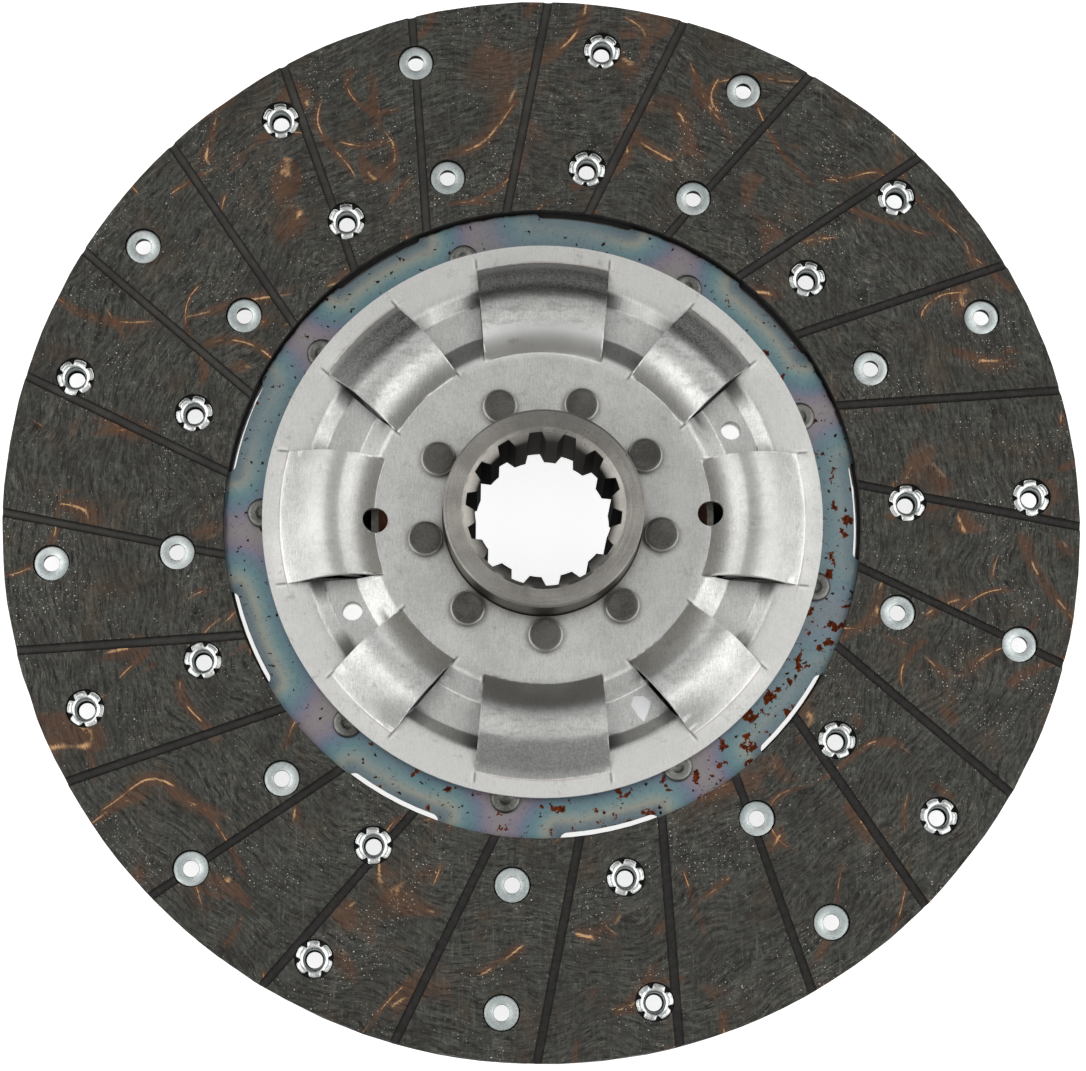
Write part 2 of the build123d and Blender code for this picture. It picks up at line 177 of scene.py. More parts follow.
def ring_places(first, count=9):
    """Even angles round the disc, in degrees."""
    return [first + 360 / count * place for place in range(count)]


def set_round(model, radius, angles, name):
    """Copies of a model made on the axis, set out round the disc."""
    copies = []
    for number, angle in enumerate(angles):
        piece = copy_of(model, f"{name}_{number}")
        way = math.radians(angle)
        piece.rotation_euler.z = way
        settle(piece)
        bpy.ops.transform.translate(value=(radius * math.cos(way), radius * math.sin(way), 0))
        copies.append(settle(piece))
    return copies


def join(copies, name):
    """One piece made of all the copies."""
    take(*copies)
    bpy.ops.object.join()
    return named(name)


def remove(piece):
    """The piece is no longer needed."""
    take(piece)
    bpy.ops.object.delete()


# Floor and light
FLOOR_LEVEL = -15.3 * MM
bpy.ops.mesh.primitive_plane_add(size=6.0, location=(0, 0, FLOOR_LEVEL))
floor = named("floor")


def softbox(name, place, width, height, power):
    """A soft lamp that looks at the middle of the disc."""
    bpy.ops.object.light_add(type="AREA", location=place)
    lamp = bpy.context.active_object
    lamp.name = name
    lamp.data.shape = "RECTANGLE"
    lamp.data.size = width
    lamp.data.size_y = height
    lamp.data.energy = power
    lamp.rotation_mode = "QUATERNION"
    lamp.rotation_quaternion = Vector(place).to_track_quat("Z", "Y")


for side, x in (("left", -0.77), ("right", 0.77)):
    softbox(f"{side}_softbox", (x, -0.06, 0.64), width=1.5, height=1.4, power=8.0)


# Helpers for finishes
def new_finish(name, **constant):
    """A finish with its shader's constant values set."""
    material = bpy.data.materials.new(name)
    material.use_nodes = True
    shader = material.node_tree.nodes["Principled BSDF"]
    for key, value in constant.items():
        shader.inputs[key.replace("_", " ")].default_value = value
    return material, material.node_tree, shader


def add(tree, kind, inputs=None, **settings):
    """A node with its settings, fed by values or by other nodes."""
    made = tree.nodes.new("ShaderNode" + kind)
    for key, value in settings.items():
        setattr(made, key, value)
    for key, value in (inputs or {}).items():
        if isinstance(value, bpy.types.NodeSocket):
            tree.links.new(value, made.inputs[key])
        else:
            made.inputs[key].default_value = value
    return made


def sums(tree, operation, *values):
    """The result of one step of arithmetic."""
    made = add(tree, "Math", dict(enumerate(values)), operation=operation)
    return made.outputs[0]


def times(tree, *values):
    """The product of its values."""
    product = values[0]
    for value in values[1:]:
        product = sums(tree, "MULTIPLY", product, value)
    return product


def spread(tree, value, low, high, first=0.0, last=1.0):
    """The value carried from one range into another and held inside it."""
    ends = {"From Min": low, "From Max": high, "To Min": first, "To Max": last}
    return add(tree, "MapRange", {"Value": value, **ends}).outputs["Result"]


def blend_colours(tree, share, first, second):
    """Two colours mixed, the second by its share."""
    made = add(tree, "Mix", data_type="RGBA", blend_type="MIX")
    for socket, value in ((made.inputs[0], share), (made.inputs[6], first), (made.inputs[7], second)):
        if isinstance(value, bpy.types.NodeSocket):
            tree.links.new(value, socket)
        else:
            socket.default_value = value
    return made.outputs[2]


def place_of(tree, stretch=(1, 1, 1), turn=(0, 0, 0)):
    """Object coordinates, stretched and turned."""
    source = add(tree, "TexCoord").outputs["Object"]
    return add(tree, "Mapping", {"Vector": source, "Scale": stretch, "Rotation": turn}).outputs[0]


def cloud(tree, where, scale, detail=3.0, rough=0.5, bend=0.0):
    """Random clouds, from 0 to 1."""
    levels = {"Scale": scale, "Detail": detail, "Roughness": rough, "Distortion": bend}
    return add(tree, "TexNoise", {"Vector": where, **levels}).outputs[0]


def swayed(tree, value, level, amount):
    """A value carried up and down by a cloud, by half the amount each way."""
    drift = sums(tree, "SUBTRACT", level, 0.5)
    return sums(tree, "MULTIPLY_ADD", drift, amount, value)


def relief(tree, shader, height, depth, strength):
    """Small relief of a given depth in metres."""
    made = add(tree, "Bump", {"Height": height, "Distance": depth, "Strength": strength})
    tree.links.new(made.outputs[0], shader.inputs["Normal"])


def colour(*tone):
    """A colour as it is seen on a screen, from 0 to 255."""
    shares = [level / 255 for level in tone]
    return tuple(((c + 0.055) / 1.055) ** 2.4 if c > 10 / 255 else c / 12.92 for c in shares) + (1.0,)


def tinted(tree, shade, share, *tone):
    """A shade carried towards a colour, as far as the share goes."""
    return blend_colours(tree, share, shade, colour(*tone))


def polar(tree):
    """The direction from the axis, and the distance from it."""
    source = add(tree, "TexCoord").outputs["Object"]
    flat = add(tree, "VectorMath", {0: source, 1: (1, 1, 0)}, operation="MULTIPLY").outputs[0]
    reach = add(tree, "VectorMath", {0: flat}, operation="LENGTH").outputs["Value"]
    way = add(tree, "VectorMath", {0: flat}, operation="NORMALIZE").outputs[0]
    return source, way, reach


def angle_of(tree, way):
    """The angle of a direction from the axis, in radians."""
    parts = add(tree, "SeparateXYZ", {0: way})
    return sums(tree, "ARCTAN2", parts.outputs["Y"], parts.outputs["X"])


def height_of(tree, source):
    """The height above the middle of the linings."""
    return add(tree, "SeparateXYZ", {0: source}).outputs["Z"]


def wound(tree, way, reach, along, across):
    """Coordinates that run round the disc, with an arc scale in radians and a radial scale in metres."""
    arc = add(tree, "VectorMath", {0: way, 3: 1 / along}, operation="SCALE").outputs[0]
    out = sums(tree, "DIVIDE", reach, across)
    parts = add(tree, "SeparateXYZ", {0: arc})
    return add(tree, "CombineXYZ", {0: parts.outputs[0], 1: parts.outputs[1], 2: out}).outputs[0]


# The floor is white to the camera and to reflections, and keeps a soft shadow
material, tree, shader = new_finish("pale_floor", Roughness=0.9, Specular_IOR_Level=0.2)
shader.inputs["Base Color"].default_value = (0.8, 0.8, 0.8, 1)
rays = add(tree, "LightPath")
seen = sums(tree, "MAXIMUM", rays.outputs["Is Camera Ray"], rays.outputs["Is Glossy Ray"])
seen = sums(tree, "MAXIMUM", seen, rays.outputs["Is Transmission Ray"])
shader.inputs["Emission Color"].default_value = (1, 1, 1, 1)
tree.links.new(times(tree, seen, 0.78), shader.inputs["Emission Strength"])
floor.data.materials.append(material)

# The world is a white backdrop, and to metal a studio that fades towards its far and its near side
world = bpy.data.worlds.new("studio")
bpy.context.scene.world = world
world.use_nodes = True
tree = world.node_tree
rays = add(tree, "LightPath")
sight = add(tree, "SeparateXYZ", {0: add(tree, "TexCoord").outputs["Generated"]})
far_fade = spread(tree, sight.outputs["Y"], 0.2, 0.95, 1.0, 0.06)
near_fade = spread(tree, sight.outputs["Y"], -0.8, -0.15, 0.8, 1.0)
studio_level = times(tree, far_fade, near_fade, 0.47)
in_metal = times(tree, rays.outputs["Is Glossy Ray"], studio_level)
seen = sums(tree, "MAXIMUM", rays.outputs["Is Camera Ray"], rays.outputs["Is Transmission Ray"])
backdrop = sums(tree, "MAXIMUM", seen, in_metal)
soft_fill = times(tree, rays.outputs["Is Diffuse Ray"], studio_level)
tree.links.new(sums(tree, "MAXIMUM", backdrop, soft_fill), tree.nodes["Background"].inputs["Strength"])
tree.nodes["Background"].inputs["Color"].default_value = (1, 1, 1, 1)


# Directions on the disc, as the camera sees it
UP, DOWN, RIGHT = (0.0, 1.0), (0.0, -1.0), (1.0, 0.0)


def ring_band(tree, reach, low, high, soft):
    """1 between two distances from the axis, fading to 0 outside them."""
    inside = spread(tree, reach, low - soft, low)
    outside = spread(tree, reach, high, high + soft, 1.0, 0.0)
    return times(tree, inside, outside)


def facing(tree, way, x, y, low, high):
    """1 on the side of the disc that lies in one direction, fading to 0 away from it."""
    along = add(tree, "VectorMath", {0: way, 1: (x, y, 0.0)}, operation="DOT_PRODUCT").outputs["Value"]
    return spread(tree, along, low, high)


def combed(tree, source, fibres, hair, grit):
    """Short fibres that mostly run round the disc, with grit and a few fibres across them."""
    across = place_of(tree, (1500, 110, 1), (0, 0, math.radians(38)))
    crossing = cloud(tree, across, 1.0, 4.0, 0.75, 0.8)
    base = blend_colours(tree, spread(tree, fibres, 0.36, 0.66), colour(16, 16, 14), colour(76, 77, 71))
    base = tinted(tree, base, spread(tree, grit, 0.52, 0.72, 0.0, 0.6), 104, 100, 90)
    base = tinted(tree, base, spread(tree, grit, 0.28, 0.46, 0.75, 0.0), 16, 15, 14)
    scratched = spread(tree, cloud(tree, source, 95.0, 2.0), 0.45, 0.6, 0.2, 0.65)
    base = tinted(tree, base, times(tree, spread(tree, hair, 0.56, 0.68), scratched), 132, 128, 116)
    base = tinted(tree, base, spread(tree, crossing, 0.56, 0.7, 0.0, 0.5), 110, 106, 96)
    return tinted(tree, base, spread(tree, crossing, 0.3, 0.44, 0.6, 0.0), 20, 19, 17)


# Brown strands: scale of their cloud, its level, width of the strand, scale and start of its patches
STRAND_FIELDS = (
    (14.0, 0.46, 0.010, 44.0, 0.51),
    (18.0, 0.54, 0.013, 50.0, 0.52),
    (22.0, 0.50, 0.015, 58.0, 0.53),
    (12.0, 0.52, 0.009, 40.0, 0.52),
    (16.0, 0.48, 0.011, 62.0, 0.53),
)


def stranded(tree, base, source, fibres, hair, grit):
    """Brown strands follow the level lines of slow clouds, with a light yarn in their middle."""
    for number, (size, level, width, patches, low) in enumerate(STRAND_FIELDS):
        shift = (0.37 * number, 0.21 * number, 0.11)
        shifted = add(tree, "Mapping", {"Vector": source, "Location": shift}).outputs[0]
        field = cloud(tree, shifted, size, 1.0, 0.4)
        off = sums(tree, "ABSOLUTE", sums(tree, "SUBTRACT", field, level))
        shown = spread(tree, cloud(tree, shifted, patches, 1.0), low, low + 0.06)
        edge = swayed(tree, off, grit, 1.2 * width)
        strand = times(tree, spread(tree, edge, 0.4 * width, 1.4 * width, 0.7, 0.0), shown)
        strand = times(tree, strand, spread(tree, fibres, 0.36, 0.6, 0.35, 1.0))
        base = tinted(tree, base, strand, 94, 60, 37)
        edge = swayed(tree, off, hair, 0.8 * width)
        core = spread(tree, edge, 0.05 * width, 0.17 * width, 1.0, 0.0)
        yarn = times(tree, core, spread(tree, cloud(tree, shifted, 130.0, 3.0), 0.5, 0.58))
        base = tinted(tree, base, times(tree, yarn, shown), 196, 154, 110)
    return base


def grooved(tree, base, depth, way, grit, broad):
    """Grooves are smooth; painted shade darkens their edges and the recesses below them, and their middle
    carries painted light on the upper left, painted shade elsewhere.
    """
    # painted light along the middle of the grooves on the upper left side
    painted_light_share = facing(tree, way, -0.6, 0.8, -0.1, 0.9)
    middle = blend_colours(tree, painted_light_share, colour(36, 34, 33), colour(66, 63, 58))
    # painted shade at the edges of the grooves
    tone = blend_colours(tree, spread(tree, depth, 0.4 * MM, 0.97 * MM), colour(7, 7, 6), middle)
    tone = tinted(tree, tone, spread(tree, grit, 0.4, 0.65, 0.0, 0.35), 70, 68, 64)
    tone = tinted(tree, tone, spread(tree, broad, 0.4, 0.6, 0.0, 0.5), 30, 29, 28)
    in_groove = spread(tree, depth, 0.02 * MM, 0.12 * MM)
    base = blend_colours(tree, in_groove, base, tone)
    # painted shade in the counterbores below the grooves
    recess_shade = sums(tree, "GREATER_THAN", depth, GROOVE_DEPTH * 1.05)
    return tinted(tree, base, recess_shade, 20, 19, 18), in_groove


def lining_finish():
    """Friction material: dark, combed with short fibres, with a few long brown strands and smooth grooves."""
    material, tree, shader = new_finish("friction_lining", Metallic=0.0, Specular_IOR_Level=0.3)
    source, way, reach = polar(tree)
    wavy = swayed(tree, reach, cloud(tree, source, 26.0, 2.0), 26.0 * MM)
    fibres = cloud(tree, wound(tree, way, wavy, 0.05, 0.9 * MM), 1.0, 5.0, 0.75)
    hair = cloud(tree, wound(tree, way, wavy, 0.022, 0.3 * MM), 1.0, 3.0, 0.7)
    grit = cloud(tree, source, 700.0, 4.0, 0.75)
    broad = cloud(tree, source, 110.0, 4.0, 0.65)
    base = combed(tree, source, fibres, hair, grit)
    base = tinted(tree, base, spread(tree, broad, 0.44, 0.62, 0.0, 0.45), 36, 33, 28)
    warm = cloud(tree, source, 75.0, 3.0, 0.6)
    base = tinted(tree, base, spread(tree, warm, 0.55, 0.7, 0.0, 0.3), 80, 60, 42)
    base = stranded(tree, base, source, fibres, hair, grit)
    # painted glints scattered over the lining
    glint_specks = cloud(tree, source, 1700.0, 1.0)
    fewer = spread(tree, cloud(tree, source, 65.0, 2.0), 0.42, 0.64, 0.785, 0.70)
    base = tinted(tree, base, sums(tree, "GREATER_THAN", glint_specks, fewer), 196, 194, 182)
    depth = sums(tree, "SUBTRACT", LINING_FACE, sums(tree, "ABSOLUTE", height_of(tree, source)))
    base, in_groove = grooved(tree, base, depth, way, grit, broad)
    tree.links.new(base, shader.inputs["Base Color"])
    tree.links.new(spread(tree, fibres, 0.3, 0.7, 0.8, 0.55), shader.inputs["Roughness"])
    smoother = spread(tree, in_groove, 0.0, 1.0, 1.0, 0.35)
    relief(tree, shader, times(tree, sums(tree, "ADD", fibres, grit), smoother), 0.11 * MM, 0.8)
    return material


def steel_finish(name, tone, dark, rough, grain=1.0, depth=0.01 * MM, pits=0.3, edge_tint=1.0, after=None):
    """Satin steel with a fine straight grain, soft clouds of tone and small dark pits."""
    edges = (edge_tint, edge_tint, edge_tint, 1.0)
    material, tree, shader = new_finish(name, Metallic=1.0, Specular_Tint=edges)
    lines = cloud(tree, place_of(tree, (4200, 420, 420)), 1.0, 2.0, 0.6)
    speckle = cloud(tree, place_of(tree), 1700.0, 3.0, 0.7)
    clouds = cloud(tree, place_of(tree), 85.0, 4.0, 0.6)
    fine = sums(tree, "MULTIPLY_ADD", lines, 0.3 * grain, times(tree, speckle, 0.35))
    share = sums(tree, "MULTIPLY_ADD", clouds, 0.65 - 0.3 * grain, fine)
    shade = blend_colours(tree, spread(tree, share, 0.42, 0.58), colour(*dark), colour(*tone))
    flecks = cloud(tree, place_of(tree), 1300.0, 2.0, 0.6)
    shade = tinted(tree, shade, spread(tree, flecks, 0.67, 0.76, 0.0, pits), 60, 58, 54)
    roughness = spread(tree, share, 0.3, 0.7, rough + 0.07, rough - 0.05)
    height = lines
    if after:
        shade, roughness, height = after(tree, shade, roughness, height)
    tree.links.new(shade, shader.inputs["Base Color"])
    tree.links.new(roughness, shader.inputs["Roughness"])
    relief(tree, shader, height, depth, 0.5)
    return material


# Zones of a guide plate, as distances from the axis: where each starts and ends, and how softly
OUTER_SLOPE = (66.5 * MM, 73.5 * MM, 4.0 * MM)
INNER_SLOPE = (48.5 * MM, 54.5 * MM, 2.0 * MM)
HOOD_TOP = (56.5 * MM, 67.5 * MM, 4.0 * MM)
OUTER_WALL = (65.5 * MM, 68.5 * MM, 1.6 * MM)
INNER_WALL = (51.5 * MM, 53.5 * MM, 1.6 * MM)
OUTER_CREASE = (73.8 * MM, 75.6 * MM, 1.1 * MM)
INNER_CREASE = (46.4 * MM, 47.8 * MM, 1.0 * MM)
FOOT_LINE = (75.55 * MM, 75.75 * MM, 0.1 * MM)
FLAT_END = (45.5 * MM, 47.5 * MM)
RIM_START = (69.0 * MM, 72.0 * MM)

# Heights on a guide plate: its flat face, where the hoods rise from it, their crest and the trough below
FLAT_FACE = (6.0 * MM, 6.4 * MM, 0.4 * MM)
HOOD_RISE = (7.2 * MM, 8.5 * MM)
HOOD_CREST = (12.8 * MM, 14.8 * MM)
TROUGH_RISE = (6.0 * MM, 6.6 * MM)


def hood_shade_and_scuffs(tree, shade, source, way, reach, level, raised):
    """Painted shade darkens the outer slopes of the upper hoods and, less, of the bottom hood, and all their
    tops carry scuffs, darker on the upper hoods.
    """
    slope = times(tree, ring_band(tree, reach, *OUTER_SLOPE), raised)
    mottle = cloud(tree, source, 1400.0, 4.0, 0.8)
    lower = facing(tree, way, *DOWN, 0.7, 0.95)
    upper = sums(tree, "MULTIPLY_ADD", lower, 0.55, facing(tree, way, *UP, 0.2, 0.75))
    hood_shade = times(tree, slope, spread(tree, mottle, 0.38, 0.6, 0.25, 0.8), upper)
    # painted shade on the outer slopes of the upper hoods
    shade = tinted(tree, shade, hood_shade, 84, 84, 82)
    scuffs = spread(tree, cloud(tree, place_of(tree, (1, 2.6, 1)), 190.0, 5.0, 0.75), 0.5, 0.68)
    crest = times(tree, spread(tree, level, *HOOD_CREST), scuffs)
    heavier = sums(tree, "MULTIPLY_ADD", upper, 0.25, 0.3)
    return tinted(tree, shade, times(tree, crest, heavier), 112, 112, 110), hood_shade


def slope_light_and_shade(tree, shade, source, way, reach, level, raised):
    """Painted light on the inner slopes of the upper hoods, painted shade on those of the lower hoods, on the
    tops of the side hoods and on the right of the flat, with stains and a fine line at the feet.
    """
    inner = times(tree, ring_band(tree, reach, *INNER_SLOPE), raised)
    clear = times(tree, inner, facing(tree, way, *UP, 0.8, 0.98))
    # painted light on the inner slopes of the upper hoods, painted shade on those of the lower hoods
    shade = tinted(tree, shade, times(tree, clear, 0.8), 255, 255, 253)
    shaded_lower_slope = times(tree, inner, facing(tree, way, *DOWN, 0.75, 0.97))
    shade = tinted(tree, shade, times(tree, shaded_lower_slope, 0.5), 140, 139, 136)
    either_side = add(tree, "VectorMath", {0: way}, operation="ABSOLUTE").outputs[0]
    sides = facing(tree, either_side, *RIGHT, 0.8, 0.97)
    top_of_hood = times(tree, ring_band(tree, reach, *HOOD_TOP), raised)
    # painted shade on the tops of the left and right hoods
    shade = tinted(tree, shade, times(tree, top_of_hood, sides, 0.5), 178, 178, 175)
    flat = spread(tree, reach, *FLAT_END, 1.0, 0.0)
    shaded_right_flat = times(tree, facing(tree, way, *RIGHT, 0.3, 0.9), flat)
    # painted shade on the right of the flat
    shade = tinted(tree, shade, times(tree, shaded_right_flat, 0.3), 170, 170, 167)
    stains = spread(tree, cloud(tree, source, 230.0, 4.0, 0.7), 0.6, 0.72, 0.0, 0.4)
    shade = tinted(tree, shade, stains, 132, 130, 124)
    broken = spread(tree, cloud(tree, source, 60.0, 1.0), 0.42, 0.5)
    line = times(tree, ring_band(tree, reach, *FOOT_LINE), broken)
    at_hoods = spread(tree, level, PLATE_FACE + 0.01 * MM, PLATE_FACE + 0.15 * MM, 0.0, 0.8)
    return tinted(tree, shade, times(tree, line, at_hoods), 176, 150, 132)


def shaded_trough_ends(tree, shade, angle, reach, level):
    """Painted shade darkens the trough where it meets the ends of the hoods."""
    turn = sums(tree, "PINGPONG", times(tree, angle, 180 / math.pi), 45.0)
    past_large = spread(tree, turn, 16.0, 20.5, 1.0, 0.0)
    before_next = spread(tree, turn, 28.5, 33.0)
    beside = sums(tree, "MAXIMUM", past_large, before_next)
    outer = ring_band(tree, reach, *OUTER_WALL)
    inner = ring_band(tree, reach, *INNER_WALL)
    low = spread(tree, level, *TROUGH_RISE, 1.0, 0.0)
    trough_end_shade = times(tree, beside, sums(tree, "MAXIMUM", outer, inner), low)
    # painted shade in the trough beside the hood ends
    return tinted(tree, shade, times(tree, trough_end_shade, 0.75), 92, 91, 87)


# Sides of the hoods, in degrees and millimetres: first angle, half the step, half the width, taper
HOOD_SIDES = ((0.0, 45.0, 17.15, 5.0), (135.1, 90.0, 12.35, 3.9), (46.2, 90.0, 10.65, 3.35))
INNER_FOOT_R = 49.55 * MM


def painted_creases(tree, shade, angle, reach):
    """Creases run on from the sheared sides of the hoods into the flat sheet, painted as a line of shade
    beside a painted highlight.
    """
    for first, half_step, half_width, taper in HOOD_SIDES:
        from_middle = sums(tree, "SUBTRACT", angle, math.radians(first))
        off = sums(tree, "PINGPONG", from_middle, math.radians(half_step))
        beside = times(tree, sums(tree, "SINE", off), reach)
        outward = times(tree, sums(tree, "COSINE", off), reach)
        past_foot = sums(tree, "SUBTRACT", outward, INNER_FOOT_R)
        edge = sums(tree, "MULTIPLY_ADD", past_foot, math.tan(math.radians(taper)), half_width * MM)
        away = sums(tree, "SUBTRACT", beside, edge)
        outer = ring_band(tree, outward, *OUTER_CREASE)
        inner = ring_band(tree, outward, *INNER_CREASE)
        beyond = sums(tree, "MAXIMUM", outer, inner)
        crease_shade = spread(tree, sums(tree, "ABSOLUTE", away), 0.1 * MM, 0.5 * MM, 0.65, 0.0)
        # painted shade along the creases
        shade = tinted(tree, shade, times(tree, crease_shade, beyond), 84, 81, 76)
        beside_it = sums(tree, "ABSOLUTE", sums(tree, "SUBTRACT", away, 0.8 * MM))
        crease_highlight = spread(tree, beside_it, 0.1 * MM, 0.6 * MM, 0.5, 0.0)
        # painted highlight beside the creases
        shade = tinted(tree, shade, times(tree, crease_highlight, beyond), 250, 250, 247)
    return shade


def guide_marks_and_shade(tree, shade, roughness, height):
    """The guide plates: painted shade and scuffs on the hoods, a bright rim, painted light and shade on
    slopes and flats, and painted shade in hollows and angles.
    """
    source, way, reach = polar(tree)
    level = sums(tree, "ABSOLUTE", height_of(tree, source))
    raised = spread(tree, level, *HOOD_RISE)
    flat_face = ring_band(tree, level, *FLAT_FACE)
    rim = times(tree, spread(tree, reach, *RIM_START), flat_face)
    shade = tinted(tree, shade, times(tree, rim, 0.42), 244, 243, 239)
    shade, hood_shade = hood_shade_and_scuffs(tree, shade, source, way, reach, level, raised)
    shade = slope_light_and_shade(tree, shade, source, way, reach, level, raised)
    angle = angle_of(tree, way)
    shade = shaded_trough_ends(tree, shade, angle, reach, level)
    shade = painted_creases(tree, shade, angle, reach)
    # painted shade in hollows and angles, from ambient occlusion
    corner_shade = add(tree, "AmbientOcclusion", {"Distance": 3.5 * MM}, samples=8).outputs["AO"]
    shade = tinted(tree, shade, spread(tree, corner_shade, 0.3, 0.85, 0.75, 0.0), 62, 60, 56)
    return shade, sums(tree, "MULTIPLY_ADD", hood_shade, -0.1, roughness), height


# The hub as its finish sees it: radii of bore, lead-in and outside, and heights of its face and lead-in
HUB_BORE_R = 23.7 * MM
HUB_LEAD_IN_R = 23.3 * MM
HUB_SIDE_R = 28.4 * MM
HUB_FACE = 22.2 * MM
LEAD_IN_LEVEL = 20.8 * MM


def turned_marks_and_shade(tree, shade, roughness, height):
    """The hub's face is turned, with dark dots; painted shade makes its bore black and darkens the upper part
    of its face, a painted highlight brightens its lead-in at the left and right, and its outside is darker.
    """
    source, way, reach = polar(tree)
    level = height_of(tree, source)
    rings = cloud(tree, wound(tree, way, reach, 2.5, 0.18 * MM), 1.0, 2.0, 0.7)
    shade = tinted(tree, shade, spread(tree, rings, 0.42, 0.66, 0.0, 0.14), 190, 187, 182)
    dots = spread(tree, cloud(tree, source, 1500.0, 2.0, 0.6), 0.66, 0.7)
    dots = times(tree, dots, facing(tree, way, 0.45, 0.9, 0.5, 1.0))
    shade = tinted(tree, shade, dots, 50, 46, 42)
    deep = spread(tree, sums(tree, "ABSOLUTE", level), LEAD_IN_LEVEL, HUB_FACE, 1.0, 0.0)
    within = spread(tree, reach, HUB_BORE_R - 0.1 * MM, HUB_BORE_R + 0.1 * MM, 1.0, 0.0)
    bore = times(tree, within, deep)
    # painted shade in the bore
    shade = tinted(tree, shade, bore, 15, 14, 13)
    within = spread(tree, reach, HUB_LEAD_IN_R - 0.1 * MM, HUB_LEAD_IN_R + 0.1 * MM, 1.0, 0.0)
    cone = times(tree, within, spread(tree, level, LEAD_IN_LEVEL, LEAD_IN_LEVEL + 0.4 * MM))
    left = facing(tree, way, -0.95, 0.3, 0.3, 0.95)
    right = facing(tree, way, 0.95, 0.2, 0.6, 1.4)
    painted_light_share = times(tree, sums(tree, "MAXIMUM", left, right), 0.2)
    # painted highlight on the lead-in at the left and right
    shade = tinted(tree, shade, times(tree, cone, painted_light_share), 206, 200, 190)
    shaded_top = times(tree, facing(tree, way, 0.15, 1.0, 0.75, 1.0), sums(tree, "SUBTRACT", 1.0, cone))
    # painted shade on the upper part of the face
    shade = tinted(tree, shade, times(tree, shaded_top, 0.55), 100, 98, 94)
    outside = spread(tree, reach, HUB_SIDE_R - 0.05 * MM, HUB_SIDE_R + 0.05 * MM)
    side = times(tree, outside, spread(tree, level, HUB_FACE - 0.1 * MM, HUB_FACE + 0.2 * MM, 1.0, 0.0))
    shade = tinted(tree, shade, side, 138, 134, 126)
    return shade, sums(tree, "MAXIMUM", roughness, times(tree, bore, 0.75)), rings


def rivet_rim_highlight(tree, shade, roughness, height):
    """A painted highlight runs round the rounded edge of a solid rivet's head."""
    from_axis = add(tree, "Attribute", attribute_name="from_axis").outputs["Fac"]
    shade = tinted(tree, shade, ring_band(tree, from_axis, 4.72, 4.9, 0.3), 178, 176, 170)
    return shade, roughness, height


def petal_highlights_and_bore_shade(tree, shade, roughness, height):
    """Painted highlights streak the petals of a tubular rivet, and painted shade darkens its bore."""
    on_petal = add(tree, "Attribute", attribute_name="on_petal").outputs["Fac"]
    petal_highlight = spread(tree, cloud(tree, place_of(tree), 900.0, 3.0, 0.7), 0.38, 0.6, 0.1, 1.0)
    # painted highlight on the petals
    shade = tinted(tree, shade, times(tree, on_petal, petal_highlight), 255, 255, 252)
    roughness = sums(tree, "MULTIPLY_ADD", on_petal, -0.1, roughness)
    bore_shade = add(tree, "Attribute", attribute_name="bore_shade").outputs["Fac"]
    # painted shade in the bore
    shade = tinted(tree, shade, bore_shade, 30, 31, 32)
    return shade, roughness, height


# Temper colours, from the edge of a window to where they end
TEMPER_REACH = 18.0 * MM
TEMPER_COLOURS = (
    (0.0, (96, 112, 120)),
    (0.1, (120, 132, 134)),
    (0.19, (160, 160, 146)),
    (0.28, (140, 158, 154)),
    (0.38, (112, 146, 150)),
    (0.5, (108, 134, 146)),
    (0.6, (120, 128, 148)),
    (0.7, (142, 130, 144)),
    (0.84, (150, 138, 142)),
    (1.0, (150, 142, 140)),
)


def temper_bands(tree, source, way, reach):
    """Bands of colour that follow the windows, weaker here and there."""
    angle = times(tree, angle_of(tree, way), 180 / math.pi)
    off = sums(tree, "PINGPONG", sums(tree, "SUBTRACT", angle, WINDOW_ANGLE), WINDOW_STEP / 2)
    beside = times(tree, sums(tree, "SUBTRACT", off, WINDOW_SPAN / 2), 1.5 * MM)
    beside = sums(tree, "MAXIMUM", beside, 0.0)
    below = sums(tree, "MAXIMUM", sums(tree, "SUBTRACT", WINDOW_INNER_R, reach), 0.0)
    both = add(tree, "CombineXYZ", {0: beside, 1: below}).outputs[0]
    away = add(tree, "VectorMath", {0: both}, operation="LENGTH").outputs["Value"]
    away = swayed(tree, away, cloud(tree, source, 70.0, 3.0), 3.2 * MM)
    ramp = add(tree, "ValToRGB", {0: sums(tree, "DIVIDE", away, TEMPER_REACH)})
    steps = ramp.color_ramp.elements
    while len(steps) < len(TEMPER_COLOURS):
        steps.new(0.5)
    for step, (stop, tone) in zip(steps, TEMPER_COLOURS):
        step.position = stop
        step.color = colour(*tone)
    weak = spread(tree, cloud(tree, way, 1.6, 0.0), 0.45, 0.62, 0.0, 0.7)
    return tinted(tree, ramp.outputs[0], weak, 120, 140, 146)


